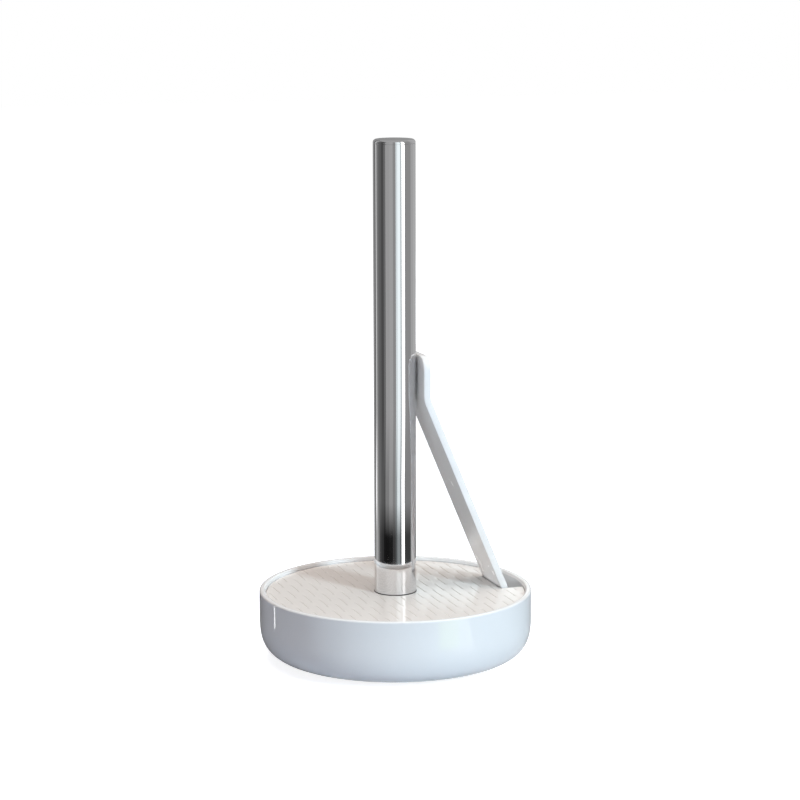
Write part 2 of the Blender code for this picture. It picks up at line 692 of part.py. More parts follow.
def rounded_bend(start, corner, end, radius, steps):
    """Points of an arc that rounds the corner of a path."""
    into = (corner - start).normalized()
    out = (end - corner).normalized()
    turn = into.angle(out)
    setback = radius * math.tan(turn / 2)
    side = 1 if into.cross(out) > 0 else -1
    first = corner - into * setback
    centre = first + Vector((-into.y, into.x)) * radius * side
    spoke = first - centre
    points = []
    for i in range(steps + 1):
        a = side * turn * i / steps
        c = math.cos(a)
        s = math.sin(a)
        points.append(centre + Vector((c * spoke.x - s * spoke.y, s * spoke.x + c * spoke.y)))
    return points


def arm_path():
    """The middle of the arm's thickness in X and Z, from the pivot to its top."""
    pivot = Vector((PIVOT_X, PIVOT_Z))
    shift = ARM_THICKNESS / 2
    top = Vector((ARM_INNER_X + shift, ARM_TOP_HEIGHT))
    rise = (PIVOT_X - top.x) / math.tan(ARM_LEAN)
    corner = Vector((top.x, PIVOT_Z + rise))
    return [pivot, *rounded_bend(pivot, corner, top, ARM_BEND_RADIUS, 6), top]


def build_arm(pivot_empty):
    outline = ribbon(arm_path(), ARM_THICKNESS / 2)
    arm = flat_outline("tension_arm", outline, ARM_WIDTH / 2, side_view(), ARM_WHITE)
    half = ARM_WIDTH / 2
    face = [(-half, PIVOT_Z - KNUCKLE_RADIUS), (half, PIVOT_Z - KNUCKLE_RADIUS)]
    corner_y = half - ARM_TOP_ROUND
    corner_z = ARM_TOP_HEIGHT - ARM_TOP_ROUND
    face += arc(corner_y, corner_z, ARM_TOP_ROUND, 0, 90, 9)
    face += arc(-corner_y, corner_z, ARM_TOP_ROUND, 90, 180, 9)
    rounding = flat_outline("arm_face", face, BASE_DIAMETER, front_view(), cutter=True)
    boolean(arm, rounding, "INTERSECT")
    bevel = arm.modifiers.new("edge_round", "BEVEL")
    bevel.width = ARM_EDGE_ROUND
    bevel.segments = 2
    bevel.limit_method = "ANGLE"
    bevel.angle_limit = math.radians(40)
    pocket = SPRING_POCKET_WIDTH / 2
    for name, side in (("front", -1), ("back", 1)):
        inner = PIVOT + Vector((0, side * (pocket - SEAT_GAP), 0))
        outer = PIVOT + Vector((0, side * half, 0))
        join(arm, rod(f"knuckle_{name}", inner, outer, KNUCKLE_RADIUS))
    across = Vector((0, pocket, 0))
    cut(arm, rod("spring_pocket", PIVOT - across, PIVOT + across, SPRING_POCKET_RADIUS))
    through = Vector((0, half + CUT_OVERRUN, 0))
    cut(arm, rod("knuckle_bore", PIVOT - through, PIVOT + through, KNUCKLE_BORE))
    hang_on(arm, pivot_empty)


def hang_on(obj, empty):
    """Puts the object's origin at the empty, which carries it, and leaves its shape in place."""
    obj.data.transform(Matrix.Translation(-empty.location))
    obj.parent = empty


def build_bushes(pivot_empty):
    length = ARM_WIDTH / 2 - SPRING_POCKET_WIDTH / 2
    for name, side in (("front", -1), ("back", 1)):
        flange_base = length + RUNNING_GAP
        flange_face = flange_base + BUSH_FLANGE
        profile = [(BUSH_BORE, flange_face), (BUSH_FLANGE_RADIUS, flange_face)]
        profile += [(BUSH_FLANGE_RADIUS, flange_base), (BUSH_RADIUS, flange_base)]
        profile += [(BUSH_RADIUS, 0), (BUSH_BORE, 0)]
        bush = turned(f"pivot_bush_{name}", profile, NATURAL_PLASTIC, SMALL_STEPS)
        bush.parent = pivot_empty
        bush.rotation_euler.x = math.radians(-90 * side)
        bush.location.y = side * SPRING_POCKET_WIDTH / 2


# Hinge bracket, pin, clip and screws

def bracket_outline():
    """Web, cheeks and screw flange seen from the side, clockwise from the flange's top."""
    skirt_clear = SKIRT_RADIUS - SKIRT_THICKNESS - CHEEK_SKIRT_GAP
    front = math.sqrt(skirt_clear ** 2 - CHEEK_OUTER_Y ** 2)
    shoulder = PLATE_UNDER - SKIRT_DEPTH - CHEEK_SKIRT_GAP
    radius = CHEEK_BOSS_RADIUS
    to_top = Vector((front - PIVOT_X, shoulder - PIVOT_Z))
    lean = math.degrees(math.atan2(to_top.y, to_top.x) - math.acos(radius / to_top.length))
    to_foot = Vector((STOP_X - PIVOT_X, WEB_BOTTOM - PIVOT_Z))
    sweep = math.degrees(math.atan2(to_foot.y, to_foot.x) + math.acos(radius / to_foot.length))
    points = [(FLANGE_INNER_X, FLANGE_TOP), (WEB_INNER_X, FLANGE_TOP)]
    points += [(WEB_INNER_X, BRACKET_TOP), (front, BRACKET_TOP), (front, shoulder)]
    points += arc(PIVOT_X, PIVOT_Z, radius, lean, sweep, 12)
    points += [(STOP_X, WEB_BOTTOM), (WEB_INNER_X, WEB_BOTTOM), (WEB_INNER_X, FLANGE_BOTTOM)]
    points += [(FLANGE_INNER_X, FLANGE_BOTTOM)]
    return points


def build_bracket():
    bracket = flat_outline("hinge_bracket", bracket_outline(), CHEEK_OUTER_Y, side_view(), STEEL)
    well = box(
        "bracket_well",
        (STOP_X, -CHEEK_INNER_Y, WEB_BOTTOM - KNUCKLE_RADIUS * 2),
        (BASE_RADIUS, CHEEK_INNER_Y, BRACKET_TOP + CUT_OVERRUN),
    )
    cut(bracket, well)
    through = Vector((0, CHEEK_OUTER_Y + CUT_OVERRUN, 0))
    cut(bracket, rod("cheek_bore", PIVOT - through, PIVOT + through, PIN_RADIUS + RUNNING_GAP))
    for index, y in enumerate(boss_places(), 1):
        low = (SCREW_BOSS_X, y, FLANGE_BOTTOM - CUT_OVERRUN)
        high = (SCREW_BOSS_X, y, FLANGE_TOP + CUT_OVERRUN)
        cut(bracket, rod(f"flange_hole_{index}", low, high, BRACKET_SCREW_RADIUS + SEAT_GAP))


def build_bracket_screws():
    for index, y in enumerate(boss_places(), 1):
        head_top = FLANGE_BOTTOM - SEAT_GAP
        head_foot = head_top - BRACKET_SCREW_HEAD_HEIGHT
        tip = PLATE_GROUND - SCREW_BOSS_SKIN - BRACKET_SCREW_TIP_GAP
        profile = [(0, tip), (BRACKET_SCREW_RADIUS, tip), (BRACKET_SCREW_RADIUS, head_top)]
        edge = head_foot + BRACKET_SCREW_HEAD_CHAMFER
        profile += [(BRACKET_SCREW_HEAD_RADIUS, head_top), (BRACKET_SCREW_HEAD_RADIUS, edge)]
        profile += [(BRACKET_SCREW_HEAD_RADIUS - BRACKET_SCREW_HEAD_CHAMFER, head_foot)]
        profile += [(0, head_foot)]
        screw = turned(f"bracket_screw_{index}", profile, ZINC, SMALL_STEPS)
        screw.location = (SCREW_BOSS_X, y, 0)


def build_pin():
    """Pin and clip are turned about Z and laid along Y, with the head to the front."""
    head = CHEEK_OUTER_Y + SEAT_GAP
    clip_near = head
    clip_far = clip_near + CLIP_THICKNESS
    groove = PIN_RADIUS - CLIP_GROOVE_DEPTH
    end = clip_far + SEAT_GAP + PIN_TIP
    profile = [(0, end), (groove, end), (PIN_RADIUS, end - CLIP_GROOVE_DEPTH)]
    profile += [(PIN_RADIUS, clip_far + SEAT_GAP), (groove, clip_far + SEAT_GAP)]
    profile += [(groove, clip_near - SEAT_GAP), (PIN_RADIUS, clip_near - SEAT_GAP)]
    profile += [(PIN_RADIUS, -head), (PIN_HEAD_RADIUS, -head)]
    profile += [(PIN_HEAD_RADIUS, -head - PIN_HEAD_THICKNESS), (0, -head - PIN_HEAD_THICKNESS)]
    pin = turned("hinge_pin", profile, STEEL, SMALL_STEPS)
    bore = groove + SEAT_GAP
    ring = [(bore, clip_far), (CLIP_RADIUS, clip_far), (CLIP_RADIUS, clip_near), (bore, clip_near)]
    clip = turned("pin_clip", ring, STEEL, SMALL_STEPS)
    for piece in (pin, clip):
        piece.location = PIVOT
        piece.rotation_euler.x = math.radians(-90)
    mouth = box(
        "clip_mouth",
        (PIVOT_X, clip_near - CUT_OVERRUN, PIVOT_Z - groove),
        (PIVOT_X + CLIP_RADIUS + CUT_OVERRUN, clip_far + CUT_OVERRUN, PIVOT_Z + groove),
    )
    cut(clip, mouth)


# Torsion spring

def spring_path():
    """Down the arm's outer face, round the pin and out under the bracket's web."""
    start = ARM_LEAN
    sweep = math.tau * SPRING_TURNS + math.pi / 2 + ARM_LEAN
    width = sweep / math.tau * SPRING_PITCH
    steps = round(sweep / math.tau * COIL_POINTS)
    coil = []
    for i in range(steps + 1):
        share = i / steps
        a = start - sweep * share
        coil.append(PIVOT + Vector((
            COIL_RADIUS * math.cos(a), width * (share - 0.5), COIL_RADIUS * math.sin(a),
        )))
    arm_tip = coil[0] + ARM_UP * SPRING_ARM_LEG
    web_tip = coil[-1] - Vector((SPRING_WEB_LEG, 0, 0))
    return [arm_tip, *coil, web_tip]


def least_gap(path, wire):
    """Smallest space between the wire and itself, past the stretch next to each point."""
    dense = []
    for a, b in zip(path, path[1:]):
        parts = max(1, math.ceil((b - a).length / wire))
        dense += [a.lerp(b, i / parts) for i in range(parts)]
    dense.append(path[-1])
    run = [0]
    for a, b in zip(dense, dense[1:]):
        run.append(run[-1] + (b - a).length)
    apart = math.pi * wire
    best = math.inf
    for i, a in enumerate(dense):
        for j in range(i + 1, len(dense)):
            if run[j] - run[i] > apart:
                best = min(best, (dense[j] - a).length)
    return best - wire


def build_spring():
    path = spring_path()
    curve = bpy.data.curves.new("torsion_spring", "CURVE")
    curve.dimensions = "3D"
    curve.bevel_depth = SPRING_WIRE / 2
    curve.bevel_resolution = 1
    curve.use_fill_caps = True
    curve.materials.append(STEEL)
    spline = curve.splines.new("POLY")
    spline.points.add(len(path) - 1)
    for point, place in zip(spline.points, path):
        point.co = (*place, 1)
    PARTS.objects.link(bpy.data.objects.new("torsion_spring", curve))
    print(f"torsion_spring least gap to itself {least_gap(path, SPRING_WIRE):.5f} m")


# Assembly

build_shell()
build_plate()
build_cover()
build_cover_screws()
build_pad()
build_ballast()
build_bolt()
build_pole()
arm_pivot = bpy.data.objects.new("arm_pivot", None)
arm_pivot.location = PIVOT
PARTS.objects.link(arm_pivot)
build_arm(arm_pivot)
build_bushes(arm_pivot)
build_bracket()
build_bracket_screws()
build_pin()
build_spring()
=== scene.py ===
# Looks of the freestanding paper towel holder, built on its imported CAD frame.
# Metres, +Z up. The arm stands on the +X side of the pole.

import json
import math

import bmesh
import bpy
from mathutils import Matrix, Vector


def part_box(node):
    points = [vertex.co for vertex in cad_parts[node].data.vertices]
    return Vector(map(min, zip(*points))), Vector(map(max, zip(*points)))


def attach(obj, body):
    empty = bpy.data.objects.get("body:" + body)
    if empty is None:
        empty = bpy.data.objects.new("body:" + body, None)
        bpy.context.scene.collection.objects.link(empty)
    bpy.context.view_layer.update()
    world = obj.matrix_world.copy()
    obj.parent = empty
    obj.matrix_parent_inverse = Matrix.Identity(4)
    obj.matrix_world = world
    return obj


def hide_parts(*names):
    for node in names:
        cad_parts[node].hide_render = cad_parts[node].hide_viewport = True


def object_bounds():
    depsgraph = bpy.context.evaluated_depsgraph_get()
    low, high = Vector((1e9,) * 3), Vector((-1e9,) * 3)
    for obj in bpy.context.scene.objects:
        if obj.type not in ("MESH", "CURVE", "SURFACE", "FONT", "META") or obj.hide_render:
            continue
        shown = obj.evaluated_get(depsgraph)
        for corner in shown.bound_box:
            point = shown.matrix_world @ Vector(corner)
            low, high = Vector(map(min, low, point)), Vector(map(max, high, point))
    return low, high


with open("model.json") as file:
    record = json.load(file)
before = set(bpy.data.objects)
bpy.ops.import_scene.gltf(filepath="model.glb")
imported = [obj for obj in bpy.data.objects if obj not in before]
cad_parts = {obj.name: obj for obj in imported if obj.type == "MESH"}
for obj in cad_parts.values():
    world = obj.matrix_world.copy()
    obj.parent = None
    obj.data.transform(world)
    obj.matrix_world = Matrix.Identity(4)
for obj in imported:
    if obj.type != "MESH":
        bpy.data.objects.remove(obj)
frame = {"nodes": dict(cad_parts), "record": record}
CAD_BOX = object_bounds()
NODES = frame["nodes"]

# Camera: where it stands, how it looks down and how it is tilted
CAMERA_AZIMUTH = -19
CAMERA_DISTANCE = 1.5914
CAMERA_HEIGHT = 0.4502
CAMERA_SIDE = 0.0033
CAMERA_PITCH = 10.05
CAMERA_ROLL = 0.14
CAMERA_LENS = 113.6
SENSOR_WIDTH = 36

# Plate and weave
PLATE_RECESS = 0.0024
PLATE_THICKNESS = 0.0024
STRAND_RISE = 0.0005
EDGE_ROUND = 0.0004
WEAVE_MARGIN = 0.0004
WEAVE_SHIFT = (0.0012, -0.001)
STRAND_PITCH = 0.0064
STAKE_PITCH = 0.0142
STRAND_LENGTH = 0.0206
STRAND_SWAY = 0.00002
STRAND_CROWN = 0.000004
GROOVE_WIDTH = 0.0007
GROOVE_DEPTH = 0.00025
GROOVE_FADE = 0.0022
WEAVE_ROWS_PER_STAKE = 8
SKIRT_THICKNESS = 0.002
SKIRT_DEPTH = 0.0032
HUB_MARGIN = 0.0014
HUB_BORE = 0.0083
COLLAR_BORE = 0.0142
COLLAR_THICKNESS = 0.0025
COLLAR_DEPTH = 0.0045
SCREW_BOSS_RADIUS = 0.0036
SCREW_BOSS_HEIGHT = 0.0067
ARM_WIDTH = 0.0345
ARM_FOOT_X = 0.067
ARM_SLOT_GAP = 0.0005
SEAT_GAP = 0.0003
TURN_STEPS = 160
SMALL_STEPS = 48
SLOT_STEPS = 12
PLATE_EDGE_STEPS = 4

# Base shell
RIM_THICKNESS = 0.0036
RIM_EDGE_ROUND = 0.0012
SHELL_WALL = 0.0032
SHELL_LIFT = 0.0015
SHELL_FLOOR = 0.0042
COVER_FLANGE = 0.0021
OPENING_INSET = 0.036
COVER_OVERLAP = 0.0043
CORNER_WIDTH = 0.027
CORNER_HEIGHT = 0.026
CORNER_FULLNESS = 3
LEDGE_WIDTH = 0.003
LEDGE_THICKNESS = 0.003
SEAT_SLOPE_DROP = 0.0006
CHEEK_INNER_Y = 0.01865
RIM_STEPS = 8
CORNER_STEPS = 24
INNER_CORNER_STEPS = 8

# Pole and its cap
CAP_RIM = 0.0026
CAP_EDGE_ROUND = 0.0022
CAP_WALL = 0.0015
TUBE_WALL = 0.0012
POLE_STEPS = 128
CROWN_STEPS = 12

# Meshes: how they are welded, eased at their edges and smoothed
WELD_DISTANCE = 0.00001
AXIS_WELD = WELD_DISTANCE / 10
SMOOTH_ANGLE = 33
FINE_EDGE = 0.00012
FINE_EDGE_STEPS = 2
EASED_NODES = ("hinge_bracket", "hinge_pin", "pin_clip", "center_bolt")

# Directions in which an arc starts and ends, in degrees
OUTWARD = 0
UPWARD = 90
INWARD = 180

# Textures: how fine each one is and how deep its skin goes
NOISE_LOW = 0.3
NOISE_HIGH = 0.7
PLASTIC_IOR = 1.5
CLOUD_SCALE = 14
SHEEN_SCALE = 60
SKIN_SCALE = 900
COARSE_SKIN_SCALE = 1600
SKIN_DEPTH = 0.0001
BAR_PEEL = 0.05
BAR_DEPTH = 0.004
BAR_GLOW_SHARE = 0.8
WEAVE_PEEL = 0.003
WEAVE_ROUGHNESS = (0.005, 0.012)
# Dust noise over the painted shade in the plate's grooves: its scale and the least share of the
# shade it keeps
GROOVE_DUST_AND_SHADE_SCALE = 120
GROOVE_DUST_AND_SHADE_LEAST = 0.7
TARNISH_SCALE = 40
LINE_SCALE = 1400
LINE_DEPTH = 0.00005
IRON_SCALE = 700
IRON_COLOURS = ((0.045, 0.045, 0.05), (0.11, 0.11, 0.115))
IRON_ROUGHNESS = (0.55, 0.8)
IRON_METALLIC = 0.6
IRON_BUMP = 0.5
IRON_DEPTH = 0.0004
RUBBER_DUST_SCALE = 220
RUBBER_COLOURS = ((0.022, 0.022, 0.023), (0.045, 0.044, 0.042))
RUBBER_ROUGHNESS = (0.62, 0.85)
RUBBER_GRAIN_SCALE = 2600
RUBBER_BUMP = 0.25

# Studio: the surround, its ceiling, and the part of its cards that lies on the table
SURROUND_RADIUS = 0.56
SURROUND_HEIGHT = 0.9
SURROUND_FOOT = 0.06
SURROUND_STEP = 3
PANEL_RADIUS = 0.55
CEILING_LEVEL = 0.42
TABLE_INNER = 0.066
TABLE_NEAR = (0.145, 0.16, 0.20)
TABLE_INNER_LEVEL = 0.90
TABLE_FAR = (0.275, 0.36, 0.48)
TABLE_LIFT = 0.0004
TABLE_TURN = -4.5

# Floor, the glow from the plate and the ambient light
FLOOR_SIZE = 12
FLOOR_COLOUR = (0.54, 0.58, 0.66)
FLOOR_LIFT = 0.86
FLOOR_DROP = 0.0002
FLOOR_WHITE_FROM = 0.16
FLOOR_WHITE_TO = 0.40
PLATE_GLOW_SIZE = 0.028
PLATE_GLOW_PLACE = 0.0525
PLATE_GLOW_LIFT = 0.0002
PLATE_GLOW_POWER = 0.0016
AMBIENT = 0.01
AMBIENT_COLOUR = (1.0, 0.99, 0.98)

# Each card of the surround: from and to in degrees right of the camera, the brightness of its
# upper part, of its foot, of the table before it and of the table near the object, and its tint
CARDS = {
    "wall_back_left": (-180, -134, 0.30, 0.30, 0.30, 0.12, "neutral"),
    "gap_back_left": (-134, -122, 0.13, 0.20, 0.20, 0.12, "neutral"),
    "strip_back_left": (-122, -111, 0.62, 1.30, 0.55, 0.12, "neutral"),
    "strip_edge": (-111, -99, 0.24, 0.36, 0.40, 0.12, "neutral"),
    "flag_left_outer": (-99, -88, 0.16, 0.20, 0.20, 0.12, "neutral"),
    "flag_left_far": (-88, -76, 0.13, 0.17, 0.07, 0.12, "neutral"),
    "flag_left": (-76, -60, 0.085, 0.12, 0.04, 0.12, "neutral"),
    "flag_left_edge": (-60, -49, 0.17, 0.10, 0.012, 0.12, "neutral"),
    "wall_front_left": (-49, -28, 0.39, 0.25, 0.009, 0.30, "neutral"),
    "wall_front": (-28, -8, 0.42, 0.36, 0.013, 0.60, "neutral"),
    "gap_camera": (-8, 7, 0.31, 0.27, 0.05, 0.80, "neutral"),
    "window_edge": (7, 16, 0.90, 0.42, 0.12, 0.90, "cool"),
    "window": (16, 32, 1.20, 1.00, 0.29, 1.00, "cool"),
    "gap_key": (32, 40, 0.60, 0.42, 0.12, 1.00, "cool"),
    "key": (40, 57, 2.20, 2.00, 2.20, 2.20, "neutral"),
    "flag_right": (57, 98, 0.31, 0.26, 0.05, 0.80, "neutral"),
    "wall_right": (98, 118, 0.43, 0.32, 0.36, 0.50, "neutral"),
    "wall_back_right": (118, 166, 0.48, 0.34, 0.22, 0.40, "neutral"),
    "wall_back": (166, 180, 0.31, 0.31, 0.22, 0.40, "neutral"),
}
TINTS = {"neutral": (1.0, 1.0, 1.0), "cool": (0.90, 0.98, 1.0), "green": (0.80, 1.0, 0.35)}

# Patches of light on the table, given by where the shell's wall mirrors them: from and to in
# degrees right of the camera, lower and upper height on the wall, brightness and tint
PATCHES = {
    "glint": (-60.6, -59.5, 0.0290, 0.0460, 5.0, "neutral"),
    "key_patch": (17.9, 27.0, 0.0245, 0.0450, 2.5, "green"),
}

# The panel's rows of points, from its foot up: height and brightness
PANEL_ROWS = (
    (0.12, 1.4), (0.158, 1.4), (0.171, 0.5), (0.175, 0.5), (0.184, 1.4), (0.20, 0.48),
)

# Panels of light on the surround: from and to in degrees right of the camera, rows and tint
PANELS = {
    "back_right": (167, 180, PANEL_ROWS, "cool"),
}

# Lamps: degrees right of the camera, degrees above the horizon, distance, width, height,
# power in watts and colour
LAMPS = {
    "key": (45, 23, 1.3, 0.20, 0.5, 12.8, (0.75, 0.91, 0.99)),
    "left_fill": (-18, 14, 1.4, 0.8, 0.6, 2.0, (0.90, 0.89, 0.97)),
    "overhead": (0, 88, 1.5, 1.3, 1.3, 25.9, (1.0, 0.90, 0.84)),
}


# Sizes read from the frame

def low(node):
    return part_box(node)[0]


def high(node):
    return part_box(node)[1]


BASE_RADIUS = high("base_shell").x
PLATE_RADIUS = high("top_plate").y
RIM_TOP = high("base_shell").z
PLATE_TOP = RIM_TOP - PLATE_RECESS
PLATE_GROUND = PLATE_TOP - STRAND_RISE
PLATE_UNDER = PLATE_TOP - PLATE_THICKNESS
HUB_TOP = high("top_plate").z
GASKET_SEAT = high("tube_gasket").x + SEAT_GAP
HUB_RADIUS = GASKET_SEAT + HUB_MARGIN
GASKET_FLOOR = low("tube_gasket").z - SEAT_GAP
SKIRT_RADIUS = PLATE_RADIUS - LEDGE_WIDTH
SLOT_INNER_X = ARM_FOOT_X - ARM_SLOT_GAP
OBJECT_MIDDLE = Vector((0, 0, (CAD_BOX[0].z + CAD_BOX[1].z) / 2))


# Studio directions, in degrees right of the camera and above the horizon

def away():
    turn = math.radians(CAMERA_AZIMUTH)
    return Vector((-math.sin(turn), math.cos(turn), 0))


def rightward():
    turn = math.radians(CAMERA_AZIMUTH)
    return Vector((math.cos(turn), math.sin(turn), 0))


def toward(azimuth, elevation=0):
    a = math.radians(azimuth)
    e = math.radians(elevation)
    flat = rightward() * math.sin(a) - away() * math.cos(a)
    return flat * math.cos(e) + Vector((0, 0, math.sin(e)))


# Node helpers

def new_material(name):
    mat = bpy.data.materials.new(name)
    mat.use_nodes = True
    return mat, mat.node_tree, mat.node_tree.nodes["Principled BSDF"]


def set_sockets(shader, **values):
    for key, value in values.items():
        shader.inputs[key.replace("_", " ")].default_value = value


def object_coordinates(tree, stretch=(1, 1, 1)):
    """The object's own coordinates, scaled so that a texture can run longer along an axis."""
    coords = tree.nodes.new("ShaderNodeTexCoord")
    mapping = tree.nodes.new("ShaderNodeMapping")
    mapping.inputs["Scale"].default_value = stretch
    tree.links.new(coords.outputs["Object"], mapping.inputs["Vector"])
    return mapping.outputs["Vector"]


def noise(tree, scale, detail=3.0, stretch=(1, 1, 1)):
    node = tree.nodes.new("ShaderNodeTexNoise")
    node.inputs["Scale"].default_value = scale
    node.inputs["Detail"].default_value = detail
    tree.links.new(object_coordinates(tree, stretch), node.inputs["Vector"])
    return node.outputs["Fac"]


def spread(tree, factor, low_value, high_value):
    """Maps a texture's middle range onto two values."""
    node = tree.nodes.new("ShaderNodeMapRange")
    node.inputs["From Min"].default_value = NOISE_LOW
    node.inputs["From Max"].default_value = NOISE_HIGH
    node.inputs["To Min"].default_value = low_value
    node.inputs["To Max"].default_value = high_value
    tree.links.new(factor, node.inputs["Value"])
    return node.outputs["Result"]


def blend_colours(tree, factor, one, other):
    node = tree.nodes.new("ShaderNodeMix")
    node.data_type = "RGBA"
    node.inputs["A"].default_value = (*one, 1)
    node.inputs["B"].default_value = (*other, 1)
    tree.links.new(factor, node.inputs["Factor"])
    return node.outputs["Result"]


def bump(tree, shader, height, strength, distance):
    node = tree.nodes.new("ShaderNodeBump")
    node.inputs["Strength"].default_value = strength
    node.inputs["Distance"].default_value = distance
    tree.links.new(height, node.inputs["Height"])
    tree.links.new(node.outputs["Normal"], shader.inputs["Normal"])


# Materials

def moulded_plastic(name, colour, cloudy, roughness, grain=SKIN_SCALE, peel=0.04):
    """Moulded plastic: a faint cloudiness in its colour, uneven gloss and a fine skin."""
    mat, tree, shader = new_material(name)
    set_sockets(shader, IOR=PLASTIC_IOR)
    patches = noise(tree, CLOUD_SCALE, 2)
    tree.links.new(blend_colours(tree, patches, colour, cloudy), shader.inputs["Base Color"])
    sheen = spread(tree, noise(tree, SHEEN_SCALE, 4), *roughness)
    tree.links.new(sheen, shader.inputs["Roughness"])
    bump(tree, shader, noise(tree, grain, 2), peel, SKIN_DEPTH)
    return mat


def thick_plastic(name, colour, cloudy, roughness):
    """Moulded plastic that lets light travel some way through it, as a white solid bar does."""
    mat = moulded_plastic(name, colour, cloudy, roughness, peel=BAR_PEEL)
    shader = mat.node_tree.nodes["Principled BSDF"]
    set_sockets(
        shader, Subsurface_Weight=BAR_GLOW_SHARE, Subsurface_Radius=(1, 1, 1),
        Subsurface_Scale=BAR_DEPTH,
    )
    return mat


def woven_plastic(name, colour, cloudy, groove_shade):
    """Gloss plastic over the woven relief, with painted shade and some dust darkening its grooves.
    """
    mat = moulded_plastic(name, colour, cloudy, WEAVE_ROUGHNESS, peel=WEAVE_PEEL)
    tree = mat.node_tree
    shader = tree.nodes["Principled BSDF"]
    top_colour = shader.inputs["Base Color"].links[0].from_socket
    # The grooves' colour is darkened as painted shade, more in some places and less in others by a
    # dust noise.
    groove = tree.nodes.new("ShaderNodeAttribute")
    groove.attribute_name = "groove"
    groove_shade_mask = tree.nodes.new("ShaderNodeMath")
    groove_shade_mask.operation = "MULTIPLY"
    tree.links.new(groove.outputs["Fac"], groove_shade_mask.inputs[0])
    dust = spread(tree, noise(tree, GROOVE_DUST_AND_SHADE_SCALE, 3), GROOVE_DUST_AND_SHADE_LEAST, 1)
    tree.links.new(dust, groove_shade_mask.inputs[1])
    mix = tree.nodes.new("ShaderNodeMix")
    mix.data_type = "RGBA"
    mix.inputs["B"].default_value = (*groove_shade, 1)
    tree.links.new(groove_shade_mask.outputs["Value"], mix.inputs["Factor"])
    tree.links.new(top_colour, mix.inputs["A"])
    tree.links.new(mix.outputs["Result"], shader.inputs["Base Color"])
    return mat


def drawn_metal(name, colour, tarnish, roughness, stretch, lines=0.03):
    """Metal with fine lines along the way it was drawn, rolled or turned."""
    mat, tree, shader = new_material(name)
    set_sockets(shader, Metallic=1)
    patches = noise(tree, TARNISH_SCALE, 3)
    tree.links.new(blend_colours(tree, patches, colour, tarnish), shader.inputs["Base Color"])
    streaks = noise(tree, LINE_SCALE, 2, stretch)
    tree.links.new(spread(tree, streaks, *roughness), shader.inputs["Roughness"])
    bump(tree, shader, streaks, lines, LINE_DEPTH)
    return mat


def cast_iron(name):
    mat, tree, shader = new_material(name)
    grains = noise(tree, IRON_SCALE, 6)
    tree.links.new(blend_colours(tree, grains, *IRON_COLOURS), shader.inputs["Base Color"])
    tree.links.new(spread(tree, grains, *IRON_ROUGHNESS), shader.inputs["Roughness"])
    set_sockets(shader, Metallic=IRON_METALLIC)
    bump(tree, shader, grains, IRON_BUMP, IRON_DEPTH)
    return mat


def rubber(name):
    mat, tree, shader = new_material(name)
    dust = noise(tree, RUBBER_DUST_SCALE, 5)
    tree.links.new(blend_colours(tree, dust, *RUBBER_COLOURS), shader.inputs["Base Color"])
    tree.links.new(spread(tree, dust, *RUBBER_ROUGHNESS), shader.inputs["Roughness"])
    bump(tree, shader, noise(tree, RUBBER_GRAIN_SCALE, 3), RUBBER_BUMP, SKIN_DEPTH)
    return mat


# The two colours that mix in a material come first, then its lowest and highest roughness
MATERIALS = {
    "gloss_white": moulded_plastic(
        "gloss_white", (0.85, 0.86, 0.87), (0.83, 0.84, 0.85), (0.02, 0.04), peel=0.01,
    ),
    # The plate's third colour is painted shade laid into the weave's grooves
    "plate_white": woven_plastic(
        "plate_white", (0.83, 0.81, 0.79), (0.80, 0.78, 0.755), groove_shade=(0.60, 0.58, 0.56),
    ),
    "arm_white": thick_plastic(
        "arm_white", (0.87, 0.87, 0.87), (0.84, 0.84, 0.84), (0.20, 0.28),
    ),
    "chrome": drawn_metal(
        "chrome", (0.80, 0.80, 0.81), (0.77, 0.77, 0.78), (0.03, 0.055),
        stretch=(1, 1, 0.02), lines=0.004,
    ),
    "steel": drawn_metal(
        "steel", (0.56, 0.57, 0.58), (0.48, 0.49, 0.50), (0.24, 0.38), stretch=(1, 0.05, 1),
    ),
    "zinc": drawn_metal(
        "zinc", (0.63, 0.64, 0.62), (0.52, 0.53, 0.50), (0.30, 0.46), stretch=(1, 1, 0.3),
    ),
    "cast_iron": cast_iron("cast_iron"),
    "rubber": rubber("rubber"),
    "black_plastic": moulded_plastic(
        "black_plastic", (0.035, 0.035, 0.036), (0.05, 0.05, 0.052), (0.40, 0.55),
        grain=COARSE_SKIN_SCALE, peel=0.3,
    ),
    "natural_plastic": moulded_plastic(
        "natural_plastic", (0.80, 0.78, 0.70), (0.74, 0.72, 0.63), (0.32, 0.45),
    ),
}


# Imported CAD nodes: welded, eased, smoothed and given their material

def normals_group():
    """Smooths a mesh except where its faces meet at more than an angle."""
    tree = bpy.data.node_groups.new("smooth_by_angle", "GeometryNodeTree")
    tree.interface.new_socket("Geometry", in_out="INPUT", socket_type="NodeSocketGeometry")
    tree.interface.new_socket("Geometry", in_out="OUTPUT", socket_type="NodeSocketGeometry")
    start = tree.nodes.new("NodeGroupInput")
    end = tree.nodes.new("NodeGroupOutput")
    angle = tree.nodes.new("GeometryNodeInputMeshEdgeAngle")
    sharp = tree.nodes.new("FunctionNodeCompare")
    sharp.operation = "GREATER_THAN"
    sharp.inputs["B"].default_value = math.radians(SMOOTH_ANGLE)
    normals = tree.nodes.new("GeometryNodeSetMeshNormal")
    normals.mode = "SHARPNESS"
    normals.inputs["Remove Custom"].default_value = True
    normals.inputs["Face Sharpness"].default_value = False
    tree.links.new(angle.outputs["Unsigned Angle"], sharp.inputs["A"])
    tree.links.new(sharp.outputs["Result"], normals.inputs["Edge Sharpness"])
    tree.links.new(start.outputs["Geometry"], normals.inputs["Mesh"])
    tree.links.new(normals.outputs["Mesh"], end.inputs["Geometry"])
    return tree


